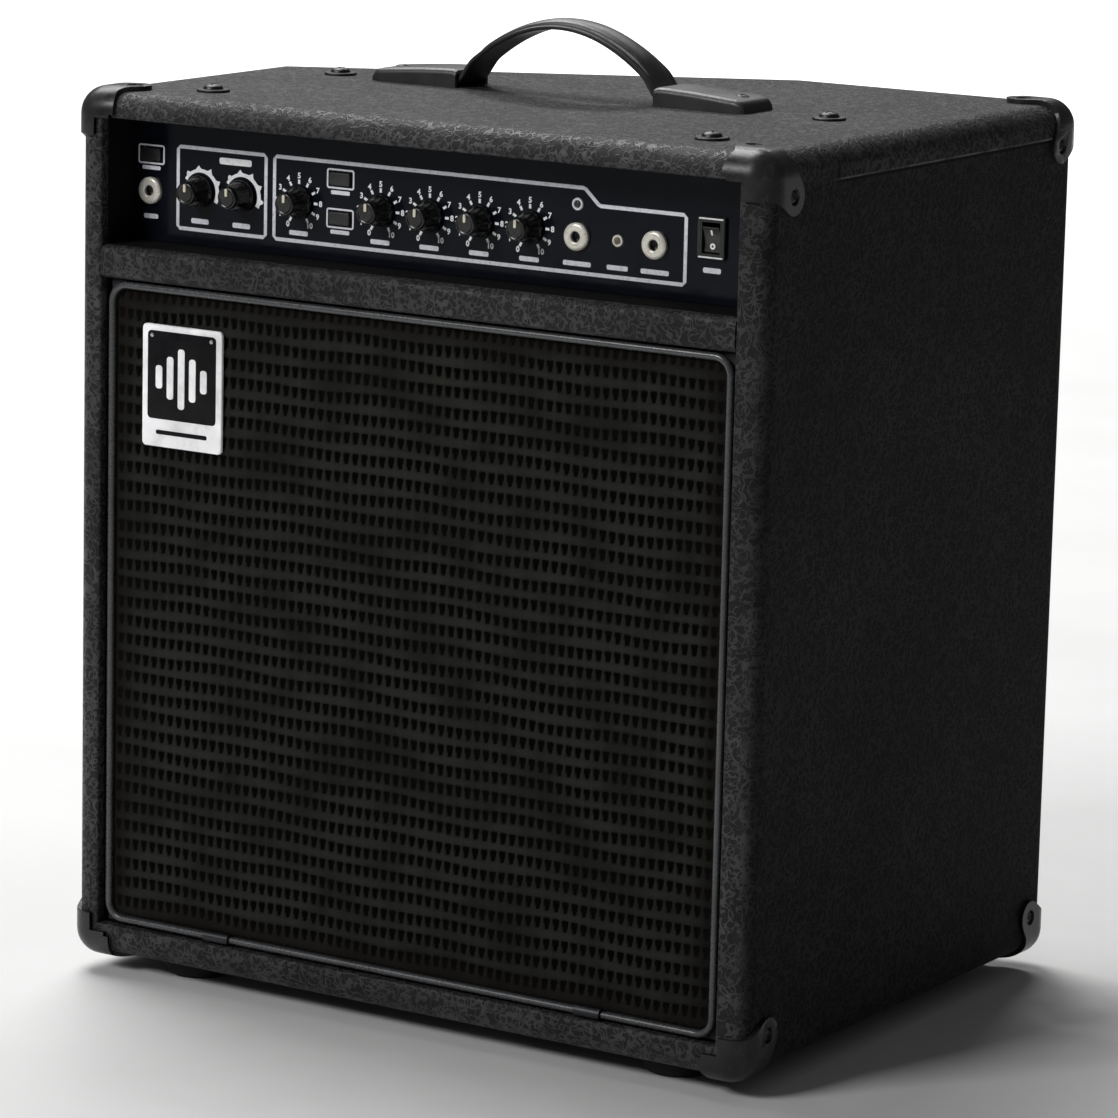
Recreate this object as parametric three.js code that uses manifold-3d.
// A small combo bass amplifier: a five-sided plywood cabinet with one 12 inch loudspeaker behind a
// removable grille, a recessed control panel on a steel chassis, a flexible strap handle and rubber feet.
// Units are millimetres. +X is the player's right when facing the grille, +Y runs to the back, +Z is up.
// Pieces are laid out from the cabinet's own corner planes: the front edge is y = 0, the underside is
// z = 0 and the middle is x = 0. The finished group is then moved so that its origin is on the floor,
// under the middle of the cabinet.

import * as THREE from "three";
import { mergeVertices } from "three/addons/utils/BufferGeometryUtils.js";
import Module from "manifold-3d";

const wasm = await Module();
wasm.setup();

// ---------------------------------------------------------------------------- driving dimensions

// Cabinet
const cabinetWidth = 408;
const cabinetHeight = 452;
const cabinetDepth = 316;
const leftSideDepth = 175; // depth of the short left side, where the slanted panel starts
const slantAngle = THREE.MathUtils.degToRad(30); // slanted panel against the front plane
const edgeRadius = 12;
const topThickness = 13;
const sideThickness = 16;
const bottomThickness = 17;
const slantThickness = 15;
const backThickness = 12;
const backInset = 2;
const glueGap = 0.3; // between pieces that are cut to each other
const seamGap = 0.05; // between the glued edges of the top, the bottom and the walls
const slideFit = 0.6; // round panels and frames that drop into the cabinet

// Shelf between the loudspeaker and the controls
const controlBayHeight = 65; // from the shelf to the underside of the top
const shelfThickness = 17;
const shelfDepth = 160;

// Corner protectors
const protectorThickness = 2.4;
const protectorReach = 22; // along each edge, from the corner
const protectorLobe = 9; // radius of the tab round each screw
const protectorScrew = 21; // screw from both edges of its face
const protectorLip = 11; // on the front and back edges

// Feet
const footHeight = 10;
const footRadius = 19;
const footInsetSide = 57;
const footInsetFront = 36;
const footInsetBack = 38;
const slantFootX = -95;
const slantFootInset = 30; // from the slanted face to that foot's axis

// Grille
const grilleSideGap = 2.4; // from the bead to the cabinet wall
const grilleEndGap = 1.2; // from the bead to the shelf and to the bottom
const beadRadius = 1.9;
const beadFront = 3; // how far the bead sits behind the cabinet's front edge
const beadCorner = 9;
const grilleFrameThickness = 8.7;
const grilleFrameWidth = 20;
const clothThickness = 1;
const tabWidth = 15;
const tabSpacing = 226;
const tabWall = 1.2;
const badgeWidth = 50;
const badgeHeight = 63;
const badgeThickness = 2;
const badgeCorner = 5;
const badgeInset = 45.2; // middle of the badge from the bead on the left
const badgeDrop = 52.5; // middle of the badge below the shelf

// Baffle and loudspeaker
const baffleThickness = 15;
const speakerRadius = 154;
const speakerSeat = 13; // how far the baffle laps over the loudspeaker's rim
const speakerRimWidth = 16.4; // flat rim outside the surround
const speakerRim = 4;
const basketDepth = 78;
const magnetRadius = 72;
const magnetThickness = 24;
const polePlateThickness = 7;
const coneDepth = 42;
const coilRadius = 25;
const paperThickness = 1.4;
const dustCapRadius = 34;
const surroundWidth = 13;
const spiderRadius = 58;

// Control panel and chassis
const panelRecess = 29.4; // front of the control panel behind the cabinet's front edge
const panelThickness = 2;
const sheetThickness = 1.5;
const chassisRearGap = 4.9; // from the chassis to the slanted panel
const flangeWidth = 20;
const controlRise = 28; // row of knobs above the shelf
const socketDrop = 2; // row of sockets below the row of knobs

// Controls: knobs
const driveKnobX = -147;
const driveKnobPitch = 26;
const gainKnobX = -85.5;
const toneKnobX = -35.8;
const toneKnobPitch = 29.5;
const knobSkirtRadius = 8.2;
const knobGripRadius = 7.2;
const knobFaceRadius = 5.7;
const knobHeight = 12.6;
const knobGap = 0.8; // under the knob, to the panel
const shaftRadius = 3;
const shaftFit = 0.35;
const shaftReach = 9; // behind the panel's front
const knobChamfer = 0.8;
const knobSkirtHeight = 1.6;
const knobSkirtSlope = 0.8; // height of the slope from the skirt to the grip
const pointerWidth = 1.2;
const pointerRise = 0.5;
const pointerStart = 1.4; // from the knob's axis
const potBody = 16;
const potDepth = 8;
const bushingRadius = 4.5;

// Controls: push buttons
const buttonWidth = 12.6;
const buttonHeight = 6.6;
const buttonProud = 1.6;
const buttonLength = 6;
const buttonTravel = 2.5;
const buttonFit = 0.4;
const buttonStem = 4;
const switchOverlap = 1; // how much smaller than its button the switch body is, on each side
const padButtonRise = 16.5; // above the row of knobs
const boostButtonX = -60.2;
const boostButtonRise = 13.8;
const boostButtonDrop = 6.1;

// Controls: sockets
const inputInset = 10; // axis of the input socket from the left wall
const phonesJackX = 80.4;
const lineJackX = 124.9;
const jackBore = 3.2;
const jackNutRadius = 6.9;
const jackNutHeight = 2.6;
const jackBarrelRadius = 4.8;
const jackLength = 26;
const socketEnd = 2; // closed back end of a socket
const auxX = 103.6;
const auxBore = 1.8;
const auxRadius = 3;
const auxProud = 0.8;
const auxLength = 15;

// Controls: power rocker
const rockerX = 157;
const rockerRise = 4.4; // above the row of knobs
const rockerWidth = 9.4;
const rockerLength = 12.6;
const rockerDish = 1.3; // how far the middle of the rocker lies below its two ends
const rockerBack = 1.5; // behind the pivot
const rockerEnds = 5.4; // ends in front of the pivot
const rockerTilt = THREE.MathUtils.degToRad(10);
const rockerPin = 1.2;
const rockerFit = 0.4;
const housingWall = 1.4;
const housingProud = 2;
const housingDepth = 18;
const bezelExtra = 0.9;

// Boards and transformer inside the chassis
const boardThickness = 1.6;
const boardStandoff = 7;
const transformerWidth = 58;
const transformerDepth = 50;
const transformerHeight = 48;
const transformerX = 142;
const heatsinkLength = 90;
const heatsinkHeight = 40;
const heatsinkDepth = 26;
const finCount = 8;

// Mains inlet on the back
const inletInset = 48; // middle of the inlet from the right wall
const inletFlangeWidth = 50;
const inletFlangeHeight = 28;
const inletBodyWidth = 28;
const inletBodyHeight = 21;
const inletDepth = 22;
const inletWall = 2;
const inletFlange = 2.2;
const inletPinWidth = 2;
const inletPinHeight = 4;
const inletPinPitch = 7;
const inletPinShift = 2; // the middle pin above the others
const inletPinRecess = 7; // behind the flange's face

// Bolts that hang the chassis from the top
const boltSpacing = 296;
const boltFrontInset = 9.6; // behind the front of the chassis
const boltRearInset = 8.4; // in front of its back
const boltRadius = 2.5;
const boltHeadRadius = 5;
const boltHeadHeight = 2.6;
const boltHeadTaper = 0.75;
const boltWasherRadius = 8.5;
const boltWasherHeight = 1.4;
const boltLength = 24;
const boltFit = 0.5;

// Strap handle
const handleX = -8; // over the centre of mass
const handleWidth = 26;
const handleRise = 34; // underside of the strap above the top, in the middle
const handleSpan = 66; // half the width at which the arch would meet the top
const archHalf = 50; // half the length of the arched stretch
const strapEdge = 2.2;
const strapCrown = 7;
const strapCrownWidth = 17;
const capMouth = 60; // end cap's inner end, from the middle of the handle
const capLength = 53;
const capWidth = 31;
const capHeight = 9.5;
const capFit = 0.5;
const tailLift = 0.4;
const tailThickness = 2.2;
const tailLength = 36;

// ---------------------------------------------------------------------------- derived planes

const wallX = cabinetWidth / 2 - sideThickness; // inner face of the side walls
const ceilingZ = cabinetHeight - topThickness;
const shelfTop = ceilingZ - controlBayHeight;
const shelfUnderside = shelfTop - shelfThickness;
const panelBack = panelRecess + panelThickness;
const controlZ = shelfTop + controlRise;
const rowZ = controlZ - socketDrop;
const chassisX = wallX - slideFit;
const slantRise = Math.tan(slantAngle);
const slantInnerY = leftSideDepth - slantThickness / Math.cos(slantAngle); // at the left face
const chassisBack = slantInnerY + (cabinetWidth / 2 - chassisX) * slantRise - chassisRearGap;
const beadX = wallX - grilleSideGap - beadRadius;
const beadLow = bottomThickness + grilleEndGap + beadRadius;
const beadHigh = shelfUnderside - grilleEndGap - beadRadius;
const beadY = beadFront + beadRadius;
const grilleFrameFront = beadY + beadRadius + glueGap;
const baffleFront = grilleFrameFront + grilleFrameThickness + glueGap;
const baffleBack = baffleFront + baffleThickness;
const speakerZ = (bottomThickness + shelfUnderside) / 2;
const speakerHoleRadius = speakerRadius - speakerSeat;
const coneRadius = speakerRadius - speakerRimWidth - surroundWidth - 2 * glueGap;
const handleY = cabinetDepth / 2;

// ---------------------------------------------------------------------------- materials

function finish(color, roughness, metalness = 0) {
  return new THREE.MeshStandardMaterial({ color, roughness, metalness });
}

const materials = {
  vinyl: finish(0x2b2a2b, 0.75),
  plywood: finish(0x9c7a4f, 0.8),
  blackPaint: finish(0x161617, 0.7),
  cloth: finish(0x1c1c1d, 0.95),
  bead: finish(0xa6a7a6, 0.45),
  protector: finish(0x1d1c1d, 0.5),
  rubber: finish(0x121212, 0.85),
  strap: finish(0x232324, 0.5),
  steel: finish(0xb9bbbd, 0.35, 1),
  blackSteel: finish(0x151515, 0.4, 0.6),
  panelPaint: finish(0x14161c, 0.45, 0.3),
  knob: finish(0x0e0e0f, 0.4),
  switchBlack: finish(0x131313, 0.45),
  nickel: finish(0xd8d6d0, 0.3, 1),
  badge: finish(0xe2e2e0, 0.4),
  board: finish(0x1d5a34, 0.6),
  aluminium: finish(0xa9abad, 0.4, 1),
  paper: finish(0x1a1a1a, 0.9),
  magnet: finish(0x2a2a2c, 0.6),
};

// ---------------------------------------------------------------------------- shape helpers

const weldDistance = 1e-4;
const amplifier = new THREE.Group();

// A closed three.js geometry as a solid that can be cut and joined.
function solid(geometry) {
  const loose = geometry.index ? geometry.toNonIndexed() : geometry;
  const bare = new THREE.BufferGeometry();
  bare.setAttribute("position", loose.getAttribute("position"));
  const welded = mergeVertices(bare, weldDistance);
  return new wasm.Manifold(
    new wasm.Mesh({
      numProp: 3,
      vertProperties: welded.getAttribute("position").array,
      triVerts: new Uint32Array(welded.index.array),
    }),
  );
}

// Puts a solid into the scene as one named piece.
function place(name, shape, material, position = [0, 0, 0], parent = amplifier) {
  const { vertProperties, triVerts } = shape.getMesh();
  const geometry = new THREE.BufferGeometry();
  geometry.setAttribute("position", new THREE.BufferAttribute(vertProperties, 3));
  geometry.setIndex(new THREE.BufferAttribute(triVerts, 1));
  const flat = geometry.toNonIndexed();
  flat.computeVertexNormals();
  const mesh = new THREE.Mesh(flat, material);
  mesh.name = name;
  mesh.position.set(...position);
  parent.add(mesh);
  return mesh;
}

function block(x0, x1, y0, y1, z0, z1) {
  const geometry = new THREE.BoxGeometry(x1 - x0, y1 - y0, z1 - z0);
  geometry.translate((x0 + x1) / 2, (y0 + y1) / 2, (z0 + z1) / 2);
  return solid(geometry);
}

// A block given by its middle in x and z, its width and height, and its front and back.
function blockAt(x, z, width, height, y0, y1) {
  return block(x - width / 2, x + width / 2, y0, y1, z - height / 2, z + height / 2);
}

function outline(points) {
  return new THREE.Shape(points.map(([a, b]) => new THREE.Vector2(a, b)));
}

function circle(a, b, radius, segments) {
  const points = [];
  for (let k = 0; k < segments; k += 1) {
    const angle = (2 * Math.PI * k) / segments;
    points.push([a + radius * Math.cos(angle), b + radius * Math.sin(angle)]);
  }
  return outline(points);
}

// The same outline with each corner rounded by an arc.
function roundedOutline(corners, radius, steps = 3) {
  const points = corners.map(([a, b]) => new THREE.Vector2(a, b));
  const rounded = [];
  points.forEach((corner, i) => {
    const before = points[(i + points.length - 1) % points.length].clone().sub(corner).normalize();
    const after = points[(i + 1) % points.length].clone().sub(corner).normalize();
    const half = Math.acos(before.dot(after)) / 2;
    const inward = before.clone().add(after).normalize();
    const centre = corner.clone().addScaledVector(inward, radius / Math.sin(half));
    const start = corner.clone().addScaledVector(before, radius / Math.tan(half)).sub(centre);
    const end = corner.clone().addScaledVector(after, radius / Math.tan(half)).sub(centre);
    const turn = Math.atan2(start.cross(end), start.dot(end));
    for (let k = 0; k <= steps; k += 1) {
      rounded.push(start.clone().rotateAround(new THREE.Vector2(), (turn * k) / steps).add(centre));
    }
  });
  return new THREE.Shape(rounded);
}

// Extrudes an outline in x and y upwards from z0 to z1.
function upright(shape, z0, z1) {
  const geometry = new THREE.ExtrudeGeometry(shape, { depth: z1 - z0, bevelEnabled: false });
  return solid(geometry.translate(0, 0, z0));
}

// Extrudes an outline in x and z backwards from y0 to y1.
function backward(shape, y0, y1) {
  const geometry = new THREE.ExtrudeGeometry(shape, { depth: y1 - y0, bevelEnabled: false });
  return solid(geometry.rotateX(Math.PI / 2).translate(0, y1, 0));
}

// Extrudes an outline in y and z sideways from x0 to x1.
function sideways(shape, x0, x1) {
  const geometry = new THREE.ExtrudeGeometry(shape, { depth: x1 - x0, bevelEnabled: false });
  return solid(geometry.rotateX(Math.PI / 2).rotateZ(Math.PI / 2).translate(x0, 0, 0));
}

// Turns a profile of [radius, y] points, listed from back to front along the outside, about the y axis.
function turned(profile, segments = 24) {
  const points = profile.map(([r, y]) => new THREE.Vector2(r, y));
  return solid(new THREE.LatheGeometry(points, segments));
}

// The same for a profile of [radius, z] points about the z axis.
function turnedUpright(profile, segments = 24) {
  const points = profile.map(([r, z]) => new THREE.Vector2(r, z));
  return solid(new THREE.LatheGeometry(points, segments).rotateX(Math.PI / 2));
}

function rod(x, z, radius, y0, y1, segments = 12) {
  const profile = [[0, y0], [radius, y0], [radius, y1], [0, y1]];
  return turned(profile, segments).translate([x, 0, z]);
}

function uprightRod(x, y, radius, z0, z1, segments = 12) {
  const profile = [[0, z0], [radius, z0], [radius, z1], [0, z1]];
  return turnedUpright(profile, segments).translate([x, y, 0]);
}

// ---------------------------------------------------------------------------- cabinet

const slantEndX = -cabinetWidth / 2 + (cabinetDepth - leftSideDepth) / slantRise;

// The five corners of the cabinet's plan, grown outwards by a distance.
function planCorners(grow) {
  const shift = grow / Math.cos(slantAngle);
  const left = -cabinetWidth / 2 - grow;
  const right = cabinetWidth / 2 + grow;
  const back = cabinetDepth + grow;
  const slantStart = leftSideDepth + shift - grow * slantRise;
  const slantEnd = slantEndX + (grow - shift) / slantRise;
  return [[left, -grow], [right, -grow], [right, back], [slantEnd, back], [left, slantStart]];
}

// The cabinet's outer form with every edge rounded, grown outwards by a distance.
function envelope(grow) {
  const steps = 4;
  const radius = edgeRadius + grow;
  const bevel = radius * 0.98; // a little under the radius, so that the corner patches stay open
  const shape = roundedOutline(planCorners(grow), radius, steps);
  const geometry = new THREE.ExtrudeGeometry(shape, {
    depth: cabinetHeight + 2 * grow - 2 * radius,
    bevelThickness: radius,
    bevelSize: bevel,
    bevelOffset: -bevel,
    bevelSegments: steps,
  });
  return solid(geometry.translate(0, 0, radius - grow));
}

// Everything on the outer side of a plane parallel to the slanted face, a distance inside it.
function beyondSlant(inside) {
  const far = cabinetWidth + cabinetDepth;
  const startY = leftSideDepth - inside / Math.cos(slantAngle);
  const cornerX = -cabinetWidth / 2;
  const ahead = [cornerX - far, startY - far * slantRise];
  const behind = [cornerX + far, startY + far * slantRise];
  const shape = outline([ahead, behind, [cornerX - far, startY + far * slantRise]]);
  return upright(shape, -far, far);
}

const outer = envelope(0);
const reach = cabinetWidth; // longer than any cut needs to be
const walls = outer.intersect(
  block(-reach, reach, -reach, reach, bottomThickness + seamGap, ceilingZ - seamGap),
);
const clearOfSlant = beyondSlant(slantThickness + glueGap);

const bolts = [panelBack + boltFrontInset, chassisBack - boltRearInset].flatMap((y) =>
  [-boltSpacing / 2, boltSpacing / 2].map((x) => ({ x, y })),
);

function boltHoles(z0, z1) {
  return bolts
    .map(({ x, y }) => uprightRod(x, y, boltRadius + boltFit, z0, z1, 12))
    .reduce((all, hole) => all.add(hole));
}

const topSlab = outer.intersect(block(-reach, reach, -reach, reach, ceilingZ, cabinetHeight + 1));
place("top_panel", topSlab.subtract(boltHoles(ceilingZ - 1, cabinetHeight + 1)), materials.vinyl);
place(
  "bottom_panel",
  outer.intersect(block(-reach, reach, -reach, reach, -1, bottomThickness)),
  materials.vinyl,
);
place(
  "right_side",
  walls.intersect(block(wallX, reach, -reach, reach, 0, cabinetHeight)),
  materials.vinyl,
);
place(
  "left_side",
  walls.intersect(block(-reach, -wallX, -reach, reach, 0, cabinetHeight)).subtract(clearOfSlant),
  materials.vinyl,
);
place("slanted_side", walls.intersect(beyondSlant(slantThickness)), materials.vinyl);

const backFace = cabinetDepth - backInset;
const backTotal = block(
  slantEndX,
  wallX - slideFit,
  backFace - backThickness,
  backFace,
  bottomThickness + slideFit,
  ceilingZ - slideFit,
);
const inletX = wallX - inletInset;
const inletZ = rowZ; // level with the sockets
const inletCut = blockAt(
  inletX,
  inletZ,
  inletBodyWidth + 2 * glueGap,
  inletBodyHeight + 2 * glueGap,
  0,
  cabinetDepth,
);
place("back_panel", backTotal.subtract(clearOfSlant).subtract(inletCut), materials.blackPaint);

place(
  "shelf",
  block(-wallX, wallX, 0, shelfDepth, shelfUnderside, shelfTop),
  materials.vinyl,
);

const baffleBoard = block(
  -wallX + slideFit,
  wallX - slideFit,
  baffleFront,
  baffleBack,
  bottomThickness,
  shelfUnderside,
);
place(
  "baffle_board",
  baffleBoard.subtract(rod(0, speakerZ, speakerHoleRadius, 0, cabinetDepth, 32)),
  materials.blackPaint,
);

// ---------------------------------------------------------------------------- corner protectors

// One screw tab: a square at the corner of a face, running out into a round end about the screw.
function tabOutline() {
  const steps = 6;
  const points = [[-protectorReach, -protectorReach], [protectorReach, -protectorReach]];
  const first = -Math.PI / 8;
  const sweep = Math.PI / 2 + Math.PI / 4;
  for (let k = 0; k <= steps; k += 1) {
    const angle = first + (sweep * k) / steps;
    const a = protectorScrew + protectorLobe * Math.cos(angle);
    const b = protectorScrew + protectorLobe * Math.sin(angle);
    points.push([a, b]);
  }
  points.push([-protectorReach, protectorReach]);
  return outline(points);
}

// The space one protector covers, measured inwards from a corner at the origin along +x, +y and +z.
function protectorSpace() {
  const tab = tabOutline();
  const skin = edgeRadius;
  const onTop = upright(tab, -skin, skin);
  const onSide = sideways(tab, -skin, skin);
  const full = onTop.add(onSide);
  const low = -2 * skin;
  const near = protectorReach;
  const lipAlongTop = block(low, near, low, edgeRadius, low, protectorLip);
  const lipAlongSide = block(low, protectorLip, low, edgeRadius, low, near);
  return full.add(lipAlongTop).add(lipAlongSide);
}

const protectorShell = envelope(protectorThickness).subtract(envelope(glueGap));
const protectorCorners = [
  { name: "front_left", x: -1, y: 1 },
  { name: "front_right", x: 1, y: 1 },
  { name: "back_right", x: 1, y: -1 },
];
const screwFaceHalf = protectorSpace();
for (const { name, x, y } of protectorCorners) {
  for (const [level, z] of [["bottom", 1], ["top", -1]]) {
    const corner = [
      (x * cabinetWidth) / 2,
      y > 0 ? 0 : cabinetDepth,
      z > 0 ? 0 : cabinetHeight,
    ];
    const space = screwFaceHalf.scale([-x, y, z]).translate(corner);
    place(`corner_protector_${name}_${level}`, protectorShell.intersect(space), materials.protector);
  }
}

// ---------------------------------------------------------------------------- feet

const footX = cabinetWidth / 2 - footInsetSide;
const slantFaceY = leftSideDepth + (slantFootX + cabinetWidth / 2) * slantRise;
const slantFootY = slantFaceY - slantFootInset / Math.cos(slantAngle);
const feet = {
  foot_front_left: [-footX, footInsetFront],
  foot_front_right: [footX, footInsetFront],
  foot_back_right: [footX, cabinetDepth - footInsetBack],
  foot_back_left: [slantFootX, slantFootY],
};
const footChamfer = 2;
const footProfile = [
  [0, -footHeight],
  [footRadius - footChamfer, -footHeight],
  [footRadius, -footHeight + footChamfer],
  [footRadius, 0],
  [0, 0],
];
for (const [name, [x, y]] of Object.entries(feet)) {
  place(name, turnedUpright(footProfile, 16), materials.rubber, [x, y, 0]);
}

// ---------------------------------------------------------------------------- grille

function rectangle(halfWidth, low, high) {
  return [[-halfWidth, low], [halfWidth, low], [halfWidth, high], [-halfWidth, high]];
}

// The grille's bead is a round cord bent into a rectangle with rounded corners.
function ring(offset, y0, y1) {
  const corners = rectangle(beadX + offset, beadLow - offset, beadHigh + offset);
  return backward(roundedOutline(corners, beadCorner + offset), y0, y1);
}

// Eight-sided section of the bead, as a stack of three slices.
function beadRing(radius) {
  const flat = radius * Math.tan(Math.PI / 8);
  const middle = ring(radius, beadY - flat, beadY + flat).subtract(
    ring(-radius, 0, 2 * beadY + radius),
  );
  const slim = ring(flat, beadY - radius, beadY + radius).subtract(
    ring(-flat, -radius, 2 * beadY + 2 * radius),
  );
  const between = (radius + flat) / 2;
  const shoulder = ring(between, beadY - between, beadY + between).subtract(
    ring(-between, -radius, 2 * beadY + 2 * radius),
  );
  return middle.add(slim).add(shoulder);
}

place("grille_bead", beadRing(beadRadius), materials.bead);

const frameX = beadX + beadRadius;
const frameLow = beadLow - beadRadius;
const frameHigh = beadHigh + beadRadius;
const frameBack = grilleFrameFront + grilleFrameThickness;
const frameOuter = block(-frameX, frameX, grilleFrameFront, frameBack, frameLow, frameHigh);
const frameOpening = block(
  -frameX + grilleFrameWidth,
  frameX - grilleFrameWidth,
  0,
  baffleBack,
  frameLow + grilleFrameWidth,
  frameHigh - grilleFrameWidth,
);
place("grille_frame", frameOuter.subtract(frameOpening), materials.blackPaint);

const clothInset = beadRadius + glueGap;
const clothBack = grilleFrameFront - glueGap;
const clothFront = clothBack - clothThickness;
place("grille_cloth", ring(-clothInset, clothFront, clothBack), materials.cloth);

const tabOuter = beadRadius + glueGap + tabWall;
const tabHole = beadRadius + glueGap;
for (const [name, x] of [["left", -tabSpacing / 2], ["right", tabSpacing / 2]]) {
  const wrap = block(
    x - tabWidth / 2,
    x + tabWidth / 2,
    beadY - tabOuter,
    clothFront - glueGap,
    beadLow - beadRadius,
    beadLow + tabOuter,
  );
  const channel = blockAt(x, beadLow, tabWidth + 2, 2 * tabHole, beadY - tabHole, beadY + 2 * tabHole);
  place(`grille_tab_${name}`, wrap.subtract(channel), materials.steel);
}

const badgeShape = roundedOutline(
  rectangle(badgeWidth / 2, -badgeHeight / 2, badgeHeight / 2),
  badgeCorner,
);
const badgeBack = clothFront - glueGap;
place(
  "badge_plate",
  backward(badgeShape, badgeBack - badgeThickness, badgeBack),
  materials.badge,
  [badgeInset - beadX, 0, shelfUnderside - badgeDrop],
);

// ---------------------------------------------------------------------------- controls: places

const knobs = [
  { name: "knob_drive", x: driveKnobX },
  { name: "knob_blend", x: driveKnobX + driveKnobPitch },
  { name: "knob_gain", x: gainKnobX },
  { name: "knob_bass", x: toneKnobX },
  { name: "knob_middle", x: toneKnobX + toneKnobPitch },
  { name: "knob_treble", x: toneKnobX + 2 * toneKnobPitch },
  { name: "knob_volume", x: toneKnobX + 3 * toneKnobPitch },
];
const inputX = inputInset - wallX;
const buttons = [
  { name: "button_pad", x: inputX, z: controlZ + padButtonRise },
  { name: "button_treble_boost", x: boostButtonX, z: controlZ + boostButtonRise },
  { name: "button_bass_boost", x: boostButtonX, z: controlZ - boostButtonDrop },
];
const jacks = [
  { name: "jack_input", x: inputX },
  { name: "jack_phones", x: phonesJackX },
  { name: "jack_line_out", x: lineJackX },
];
const rockerZ = controlZ + rockerRise;
const housingWidth = rockerWidth + 2 * (rockerFit + housingWall);
const rockerSwing = rockerLength / 2 + rockerEnds * Math.sin(rockerTilt);
const wellHeight = 2 * (rockerSwing + rockerFit);
const housingHeight = wellHeight + 2 * housingWall;

// Everything that passes through the panel and the chassis front, as one cutter.
function panelHoles(y0, y1) {
  const holes = [
    ...knobs.map(({ x }) => rod(x, controlZ, bushingRadius + glueGap, y0, y1)),
    ...buttons.map(({ x, z }) =>
      blockAt(x, z, buttonWidth + 2 * buttonFit, buttonHeight + 2 * buttonFit, y0, y1),
    ),
    ...jacks.map(({ x }) => rod(x, rowZ, jackBarrelRadius + glueGap, y0, y1)),
    rod(auxX, rowZ, auxRadius + glueGap, y0, y1, 12),
    blockAt(rockerX, rockerZ, housingWidth + 2 * glueGap, housingHeight + 2 * glueGap, y0, y1),
  ];
  return holes.reduce((all, hole) => all.add(hole));
}

// ---------------------------------------------------------------------------- panel and chassis

const panelX = wallX - glueGap;
const panelLow = shelfTop + glueGap;
const panelHigh = ceilingZ - glueGap;
const panelPlate = block(-panelX, panelX, panelRecess, panelBack, panelLow, panelHigh);
place(
  "control_panel",
  panelPlate.subtract(panelHoles(panelRecess - 1, panelBack + 1)),
  materials.panelPaint,
);

const trayOuter = block(-chassisX, chassisX, panelBack, chassisBack, panelLow, panelHigh);
const trayHollow = block(
  -chassisX + sheetThickness,
  chassisX - sheetThickness,
  panelBack + sheetThickness,
  chassisBack - sheetThickness,
  panelLow + sheetThickness,
  panelHigh + 1,
);
const flangeLow = panelHigh - sheetThickness;
const frontFlange = block(-chassisX, chassisX, panelBack, panelBack + flangeWidth, flangeLow, panelHigh);
const rearFlange = block(-chassisX, chassisX, chassisBack - flangeWidth, chassisBack, flangeLow, panelHigh);
const tray = trayOuter
  .subtract(trayHollow)
  .add(frontFlange)
  .add(rearFlange)
  .subtract(boltHoles(flangeLow - 1, panelHigh + 1))
  .subtract(panelHoles(panelBack - 1, panelBack + sheetThickness + 1));
place("chassis", tray, materials.steel);

// ---------------------------------------------------------------------------- bolts

const boltProfile = [
  [0, cabinetHeight - boltLength],
  [boltRadius, cabinetHeight - boltLength],
  [boltRadius, cabinetHeight],
  [boltWasherRadius, cabinetHeight],
  [boltWasherRadius, cabinetHeight + boltWasherHeight],
  [boltHeadRadius, cabinetHeight + boltWasherHeight],
  [boltHeadRadius - boltHeadTaper, cabinetHeight + boltWasherHeight + boltHeadHeight],
  [0, cabinetHeight + boltWasherHeight + boltHeadHeight],
];
const boltNames = ["front_left", "front_right", "back_left", "back_right"];
bolts.forEach(({ x, y }, i) => {
  place(`chassis_bolt_${boltNames[i]}`, turnedUpright(boltProfile, 12), materials.blackSteel, [x, y, 0]);
});

// ---------------------------------------------------------------------------- knobs

const knobFace = -knobGap - knobHeight;
const knobSkirtFront = -knobGap - knobSkirtHeight;
const knobProfile = [
  [0, knobFace],
  [knobFaceRadius - knobChamfer, knobFace],
  [knobFaceRadius, knobFace + knobChamfer],
  [knobGripRadius, knobSkirtFront - knobSkirtSlope],
  [knobSkirtRadius, knobSkirtFront],
  [knobSkirtRadius, -knobGap],
  [shaftRadius, -knobGap],
  [shaftRadius, shaftReach],
  [0, shaftReach],
];
const knobPointer = block(
  -pointerWidth / 2,
  pointerWidth / 2,
  knobFace - pointerRise,
  knobFace + 1,
  pointerStart,
  knobFaceRadius - knobChamfer,
);
const knobSolid = turned(knobProfile, 16).add(knobPointer);
for (const { name, x } of knobs) {
  place(name, knobSolid, materials.knob, [x, panelRecess, controlZ]);
}

// ---------------------------------------------------------------------------- push buttons

const buttonBack = panelRecess - buttonProud + buttonLength;
const switchFront = buttonBack + buttonTravel + buttonFit;
const boardFront = panelBack + sheetThickness + potDepth;
const stemTip = boardFront - buttonTravel - buttonFit;
for (const { name, x, z } of buttons) {
  const cap = blockAt(0, 0, buttonWidth, buttonHeight, -buttonProud, buttonBack - panelRecess);
  const stem = blockAt(0, 0, buttonStem, buttonStem, 0, stemTip - panelRecess);
  place(name, cap.add(stem), materials.switchBlack, [x, panelRecess, z]);
}

// ---------------------------------------------------------------------------- control board

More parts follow.
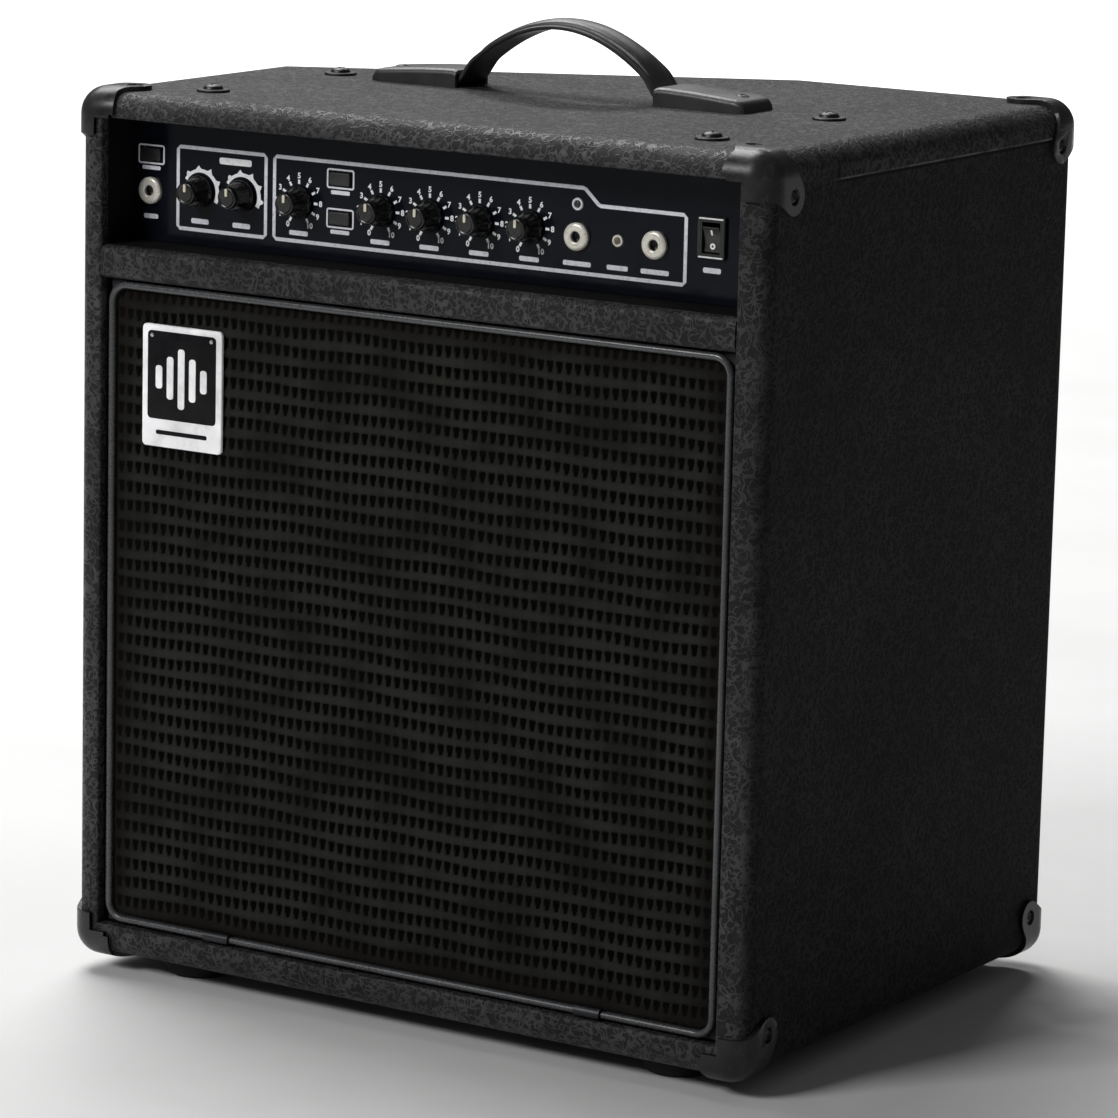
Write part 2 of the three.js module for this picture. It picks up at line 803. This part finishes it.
// One board carries the seven rotary controls and the three push switches.
const boardMargin = 4;
const solderDepth = 0.5; // how far the parts on a board sink into it
const boardLow = controlZ - potBody / 2 - boardMargin;
const boardHigh = controlZ + padButtonRise + buttonHeight / 2 + boardMargin;
const boardLeft = driveKnobX - potBody / 2 - boardMargin;
const boardRight = toneKnobX + 3 * toneKnobPitch + potBody / 2 + boardMargin;
const boardBack = boardFront + boardThickness;
const stepLow = rowZ + jackBarrelRadius + boardMargin; // the narrow end passes above the input socket
const stepLeft = inputX - buttonWidth / 2 + switchOverlap;
const boardMain = block(boardLeft, boardRight, boardFront, boardBack, boardLow, boardHigh);
const boardEnd = block(stepLeft, boardLeft + 1, boardFront, boardBack, stepLow, boardHigh);

let controlBoard = boardMain.add(boardEnd);
for (const { x } of knobs) {
  const potFront = boardFront - potDepth + glueGap;
  const body = blockAt(x, controlZ, potBody, potBody, potFront, boardFront + solderDepth);
  const bushing = rod(x, controlZ, bushingRadius, panelRecess + panelThickness / 2, boardFront);
  controlBoard = controlBoard.add(body).add(bushing);
}
for (const { x, z } of buttons) {
  const width = buttonWidth - 2 * switchOverlap;
  controlBoard = controlBoard.add(
    blockAt(x, z, width, buttonHeight, switchFront, boardFront + solderDepth),
  );
}
for (const { x } of knobs) {
  const bore = rod(x, controlZ, shaftRadius + shaftFit, 0, panelRecess + shaftReach + shaftFit);
  controlBoard = controlBoard.subtract(bore);
}
const stemBore = buttonStem + 2 * buttonFit;
for (const { x, z } of buttons) {
  controlBoard = controlBoard.subtract(blockAt(x, z, stemBore, stemBore, 0, boardFront));
}
place("control_board", controlBoard, materials.board);

// ---------------------------------------------------------------------------- sockets

const jackProfile = [
  [jackBore, -jackNutHeight],
  [jackNutRadius - 1, -jackNutHeight],
  [jackNutRadius, -jackNutHeight + 1],
  [jackNutRadius, 0],
  [jackBarrelRadius, 0],
  [jackBarrelRadius, jackLength],
  [0, jackLength],
  [0, jackLength - socketEnd],
  [jackBore, jackLength - socketEnd],
  [jackBore, -jackNutHeight],
];
for (const { name, x } of jacks) {
  place(name, turned(jackProfile, 16), materials.nickel, [x, panelRecess, rowZ]);
}

const auxProfile = [
  [auxBore, -auxProud],
  [auxRadius, -auxProud],
  [auxRadius, auxLength],
  [0, auxLength],
  [0, auxLength - socketEnd],
  [auxBore, auxLength - socketEnd],
  [auxBore, -auxProud],
];
place("socket_aux", turned(auxProfile, 12), materials.nickel, [auxX, panelRecess, rowZ]);

// ---------------------------------------------------------------------------- power rocker

const pivotY = panelRecess - housingProud + rockerEnds + rockerFit;
const housingFront = panelRecess - housingProud;
const housingBack = panelRecess + housingDepth;
const bezel = blockAt(
  rockerX,
  rockerZ,
  housingWidth + 2 * bezelExtra,
  housingHeight + 2 * bezelExtra,
  housingFront,
  panelRecess,
);
const housingBody = blockAt(rockerX, rockerZ, housingWidth, housingHeight, housingFront, housingBack);
const well = blockAt(
  rockerX,
  rockerZ,
  rockerWidth + 2 * rockerFit,
  wellHeight,
  housingFront - 1,
  housingBack - housingWall,
);
const pinSegments = 12;
const pinBore = sideways(
  circle(pivotY, rockerZ, rockerPin + rockerFit, pinSegments),
  rockerX - housingWidth,
  rockerX + housingWidth,
);
place("power_switch_housing", bezel.add(housingBody).subtract(well).subtract(pinBore), materials.switchBlack);

const rockerOutline = outline([
  [-rockerEnds, -rockerLength / 2],
  [rockerBack, -rockerLength / 4],
  [rockerBack, rockerLength / 4],
  [-rockerEnds, rockerLength / 2],
  [-rockerEnds + rockerDish, 0],
]);
const rockerPins = sideways(
  circle(0, 0, rockerPin, pinSegments),
  -housingWidth / 2 + glueGap,
  housingWidth / 2 - glueGap,
);
const rockerSolid = sideways(rockerOutline, -rockerWidth / 2, rockerWidth / 2).add(rockerPins);
const rocker = place("power_rocker", rockerSolid, materials.switchBlack, [rockerX, pivotY, rockerZ]);
rocker.rotation.x = rockerTilt;

// ---------------------------------------------------------------------------- chassis contents

const floorZ = panelLow + sheetThickness;
const airGap = 12; // between the boards, the transformer and the chassis wall
const rearAirGap = 6;
const innerFront = boardBack + airGap;
const innerBack = chassisBack - sheetThickness - rearAirGap;
const powerBoardZ = floorZ + boardStandoff;
const powerBoardRight = transformerX - transformerWidth / 2 - airGap;
const powerBoardLeft = -chassisX + sheetThickness + airGap;
const heatsinkRight = powerBoardRight - airGap;
const heatsinkLeft = heatsinkRight - heatsinkLength;
const heatsinkFront = innerBack - heatsinkDepth;

let powerBoard = block(
  powerBoardLeft,
  powerBoardRight,
  innerFront,
  innerBack,
  powerBoardZ,
  powerBoardZ + boardThickness,
);
const postInset = 6;
const postRadius = 3;
for (const x of [powerBoardLeft + postInset, powerBoardRight - postInset]) {
  for (const y of [innerFront + postInset, innerBack - postInset]) {
    powerBoard = powerBoard.add(uprightRod(x, y, postRadius, floorZ, powerBoardZ + solderDepth, 8));
  }
}
const capacitorRadius = 11;
const capacitorHeight = 34;
const capacitorPitch = 2 * capacitorRadius + boardMargin;
const capacitorCount = 3;
const capacitorX = powerBoardLeft + capacitorRadius + 2 * airGap;
const capacitorY = innerBack - capacitorRadius - airGap;
for (let k = 0; k < capacitorCount; k += 1) {
  const x = capacitorX + k * capacitorPitch;
  const top = powerBoardZ + boardThickness + capacitorHeight;
  powerBoard = powerBoard.add(uprightRod(x, capacitorY, capacitorRadius, powerBoardZ, top));
}
const chipWidth = 14;
const chipDepth = 5;
const chipHeight = 20;
const chipCount = 4;
for (let k = 0; k < chipCount; k += 1) {
  const x = heatsinkLeft + (heatsinkLength * (k + 0.5)) / chipCount;
  const chip = block(
    x - chipWidth / 2,
    x + chipWidth / 2,
    heatsinkFront - glueGap - chipDepth,
    heatsinkFront - glueGap,
    powerBoardZ,
    powerBoardZ + boardThickness + chipHeight,
  );
  powerBoard = powerBoard.add(chip);
}
place("power_board", powerBoard, materials.board);

const sinkBase = powerBoardZ + boardThickness + glueGap;
const sinkPlate = 5;
let heatsink = block(
  heatsinkLeft,
  heatsinkRight,
  heatsinkFront,
  heatsinkFront + sinkPlate,
  sinkBase,
  sinkBase + heatsinkHeight,
);
const finThickness = 2;
const finPitch = (heatsinkLength - finThickness) / (finCount - 1);
for (let k = 0; k < finCount; k += 1) {
  const x = heatsinkLeft + k * finPitch;
  const fin = block(x, x + finThickness, heatsinkFront, innerBack - 1, sinkBase, sinkBase + heatsinkHeight);
  heatsink = heatsink.add(fin);
}
place("heatsink", heatsink, materials.aluminium);

const coilOverhang = 9; // the winding stands out of the core at the front and the back
const coilInset = 10; // from the core's sides
const coilRecess = 8; // from the core's top and bottom
const transformerY = (innerFront + innerBack) / 2;
const core = block(
  transformerX - transformerWidth / 2,
  transformerX + transformerWidth / 2,
  transformerY - transformerDepth / 2 + coilOverhang,
  transformerY + transformerDepth / 2 - coilOverhang,
  floorZ,
  floorZ + transformerHeight,
);
const coil = block(
  transformerX - transformerWidth / 2 + coilInset,
  transformerX + transformerWidth / 2 - coilInset,
  transformerY - transformerDepth / 2,
  transformerY + transformerDepth / 2,
  floorZ + coilRecess,
  floorZ + transformerHeight - coilRecess,
);
place("mains_transformer", core.add(coil), materials.blackSteel);

// ---------------------------------------------------------------------------- mains inlet

const inletFace = backFace + glueGap;
const inletFront = inletFace - inletDepth;
const inletMouth = inletFace + inletFlange;
const inletShell = blockAt(inletX, inletZ, inletFlangeWidth, inletFlangeHeight, inletFace, inletMouth);
const inletBody = blockAt(inletX, inletZ, inletBodyWidth, inletBodyHeight, inletFront, inletMouth);
const inletHollow = blockAt(
  inletX,
  inletZ,
  inletBodyWidth - 2 * inletWall,
  inletBodyHeight - 2 * inletWall,
  inletFront + inletWall,
  inletMouth + 1,
);
let inlet = inletShell.add(inletBody).subtract(inletHollow);
const inletPins = [
  [-inletPinPitch, -inletPinShift],
  [0, inletPinShift],
  [inletPinPitch, -inletPinShift],
];
for (const [dx, dz] of inletPins) {
  const pinStart = inletFront + inletWall / 2;
  const pinTip = inletMouth - inletPinRecess;
  inlet = inlet.add(
    blockAt(inletX + dx, inletZ + dz, inletPinWidth, inletPinHeight, pinStart, pinTip),
  );
}
place("mains_inlet", inlet, materials.switchBlack);

// ---------------------------------------------------------------------------- loudspeaker

const speakerFront = baffleBack; // the loudspeaker is bolted to the back of the baffle
const basketBack = speakerFront + basketDepth;
const speakerSegments = 24;

function speakerPiece(name, profile, material) {
  place(name, turned(profile, speakerSegments), material, [0, speakerFront, speakerZ]);
}

// Basket: a rim, a funnel with windows in it, and a round seat for the motor.
const funnelWall = 2.5;
const seatRadius = magnetRadius - 8;
const seatHole = coilRadius + 8;
const seatThickness = 4;
const rimInner = coneRadius + surroundWidth + 2 * glueGap; // the surround is glued in here
const collarInner = spiderRadius + glueGap; // and the spider in here
const collarFront = basketDepth * 0.6;
const basketProfile = [
  [rimInner, 0],
  [speakerRadius, 0],
  [speakerRadius, speakerRim],
  [rimInner + funnelWall, speakerRim + 2],
  [collarInner + funnelWall, collarFront],
  [seatRadius, basketDepth - seatThickness],
  [seatRadius, basketDepth],
  [seatHole, basketDepth],
  [seatHole, basketDepth - seatThickness],
  [collarInner, basketDepth - seatThickness],
  [collarInner, collarFront],
  [rimInner, speakerRim + 2],
  [rimInner, 0],
];
let basket = turned(basketProfile, speakerSegments);
const windowCount = 6;
for (let k = 0; k < windowCount; k += 1) {
  const angle = (360 * (k + 0.5)) / windowCount;
  const opening = block(-26, 26, speakerRim + 8, collarFront - 9, spiderRadius, speakerRadius);
  basket = basket.subtract(opening.rotate([0, angle, 0]));
}
place("speaker_basket", basket, materials.blackSteel, [0, speakerFront, speakerZ]);

// Motor: front plate, ring magnet, back plate and pole, with an open gap for the coil.
const gapInner = coilRadius - 1.6;
const gapOuter = coilRadius + 1.6;
const motorBack = basketDepth + 2 * polePlateThickness + magnetThickness;
const motorProfile = [
  [0, basketDepth + glueGap],
  [gapInner, basketDepth + glueGap],
  [gapInner, motorBack - polePlateThickness],
  [gapOuter, motorBack - polePlateThickness],
  [gapOuter, basketDepth + glueGap],
  [magnetRadius - 6, basketDepth + glueGap],
  [magnetRadius - 6, basketDepth + polePlateThickness],
  [magnetRadius, basketDepth + polePlateThickness],
  [magnetRadius, motorBack - polePlateThickness],
  [magnetRadius - 6, motorBack - polePlateThickness],
  [magnetRadius - 6, motorBack],
  [0, motorBack],
];
speakerPiece("speaker_motor", motorProfile, materials.magnet);

// Cone with its coil former. The former hangs in the motor's gap.
const coneFront = speakerRim + 1;
const neck = coneFront + coneDepth;
const formerBack = basketDepth + polePlateThickness + 6;
const coneProfile = [
  [coneRadius, coneFront],
  [coneRadius, coneFront + paperThickness],
  [coneRadius * 0.62, coneFront + coneDepth * 0.5 + paperThickness],
  [coilRadius + 0.6, neck + paperThickness],
  [coilRadius + 0.6, formerBack],
  [coilRadius - 0.6, formerBack],
  [coilRadius - 0.6, neck],
  [coneRadius * 0.62, coneFront + coneDepth * 0.5],
  [coneRadius - 4, coneFront],
  [coneRadius, coneFront],
];
speakerPiece("speaker_cone", coneProfile, materials.paper);

// Dust cap: a shallow dome glued on the cone.
const coneSlope = (coneDepth * 0.5) / (coneRadius * 0.62 - coilRadius);
const capSeat = neck - (dustCapRadius - coilRadius) * coneSlope - glueGap;
const domeHeight = 9;
const domeOuter = [];
const domeInner = [];
const domeSteps = 4;
for (let k = 0; k <= domeSteps; k += 1) {
  const t = k / domeSteps;
  const r = dustCapRadius * t;
  domeOuter.push([r, capSeat - domeHeight * (1 - t * t) - paperThickness]);
  domeInner.push([r, capSeat - domeHeight * (1 - t * t)]);
}
speakerPiece("speaker_dust_cap", [...domeOuter, ...domeInner.toReversed()], materials.paper);

// Surround: a half roll between the cone's edge and the basket.
const rollSteps = 4;
const rollMiddle = coneRadius + glueGap + surroundWidth / 2;
const rollOuter = [];
const rollInner = [];
for (let k = 0; k <= rollSteps; k += 1) {
  const angle = Math.PI * (1 - k / rollSteps);
  const half = surroundWidth / 2;
  const lift = half * 0.75 * Math.sin(angle);
  rollOuter.push([rollMiddle + half * Math.cos(angle), coneFront - lift - paperThickness]);
  rollInner.push([rollMiddle + half * Math.cos(angle), coneFront - lift]);
}
const rollProfile = [...rollOuter, ...rollInner.toReversed(), rollOuter[0]];
speakerPiece("speaker_surround", rollProfile, materials.rubber);

// Spider: a flat corrugated ring that centres the coil.
const spiderY = collarFront + 6;
const spiderInner = coilRadius + 0.6 + glueGap;
const waves = 4;
const spiderFront = [];
const spiderBack = [];
for (let k = 0; k <= waves; k += 1) {
  const r = spiderInner + ((spiderRadius - spiderInner) * k) / waves;
  const wave = k % 2 === 0 ? 0 : 2.4;
  spiderFront.push([r, spiderY - wave]);
  spiderBack.push([r, spiderY - wave + 1]);
}
speakerPiece(
  "speaker_spider",
  [...spiderFront, ...spiderBack.toReversed(), spiderFront[0]],
  materials.paper,
);

// ---------------------------------------------------------------------------- strap handle

// Height of the strap's underside above the top, at a distance from the middle of the handle.
function archHeight(x) {
  return handleRise * (1 - (x / handleSpan) ** 2);
}

// Underside of one half of the strap, from the middle to the end of the tail, as [x, z].
function strapUnderside() {
  const points = [];
  const archSteps = 8;
  for (let k = 0; k <= archSteps; k += 1) {
    const x = (archHalf * k) / archSteps;
    points.push(new THREE.Vector2(x, archHeight(x)));
  }
  const slope = (-2 * handleRise * archHalf) / handleSpan ** 2;
  const start = points[points.length - 1];
  const lead = (capMouth - archHalf) / 2;
  const bend = new THREE.CubicBezierCurve(
    start,
    new THREE.Vector2(start.x + lead, start.y + lead * slope),
    new THREE.Vector2(capMouth - lead / 2, tailLift),
    new THREE.Vector2(capMouth + lead, tailLift),
  );
  points.push(...bend.getPoints(5).slice(1));
  points.push(new THREE.Vector2(capMouth + tailLength, tailLift));
  return points;
}

// A band of even thickness over the strap's underside, for part of the strap's width.
function strapBand(underside, thickness, width) {
  const half = underside.map((point, i) => {
    const before = underside[Math.max(i - 1, 0)];
    const after = underside[Math.min(i + 1, underside.length - 1)];
    const along = after.clone().sub(before).normalize();
    const normal = i === 0 ? new THREE.Vector2(0, 1) : new THREE.Vector2(-along.y, along.x);
    return { low: point, high: point.clone().addScaledVector(normal, thickness) };
  });
  const mirrored = (point) => new THREE.Vector2(-point.x, point.y);
  const lows = half.map(({ low }) => low);
  const highs = half.map(({ high }) => high);
  const shape = new THREE.Shape([
    ...lows.toReversed().map(mirrored),
    ...lows.slice(1),
    ...highs.toReversed(),
    ...highs.slice(1).map(mirrored),
  ]);
  return backward(shape, -width / 2, width / 2);
}

const underside = strapUnderside();
const flatStrap = strapBand(underside, tailThickness, handleWidth);
const crown = strapBand(underside, strapCrown, strapCrownWidth);
const crownHalf = archHalf + 2;
const crownOnly = crown.intersect(block(-crownHalf, crownHalf, -handleWidth, handleWidth, 0, reach));
place(
  "handle_strap",
  flatStrap.add(crownOnly),
  materials.strap,
  [handleX, handleY, cabinetHeight],
);

// End cap: a low cover, open underneath and at its mouth, that holds the strap's tail down.
const capOutline = outline([
  [0, 0],
  [capLength, 0],
  [capLength, capHeight * 0.45],
  [capLength - 5, capHeight * 0.72],
  [8, capHeight],
  [0, capHeight * 0.92],
]);
const tunnelWidth = handleWidth + 2 * capFit;
const tunnelOutline = outline([
  [-1, -1],
  [tailLength + capFit, -1],
  [tailLength + capFit, tailLift + tailThickness + capFit],
  [15, tailLift + tailThickness + capFit + 0.4],
  [-1, capHeight * 0.78],
]);
const capShell = backward(capOutline, -capWidth / 2, capWidth / 2);
const capTunnel = backward(tunnelOutline, -tunnelWidth / 2, tunnelWidth / 2);
const handleCap = capShell.subtract(capTunnel);
place("handle_cap_right", handleCap, materials.strap, [handleX + capMouth, handleY, cabinetHeight]);
place(
  "handle_cap_left",
  handleCap.mirror([1, 0, 0]),
  materials.strap,
  [handleX - capMouth, handleY, cabinetHeight],
);

// ---------------------------------------------------------------------------- finished group

amplifier.position.set(0, -cabinetDepth / 2, footHeight);

const part = new THREE.Group();
part.add(amplifier);

export default part;
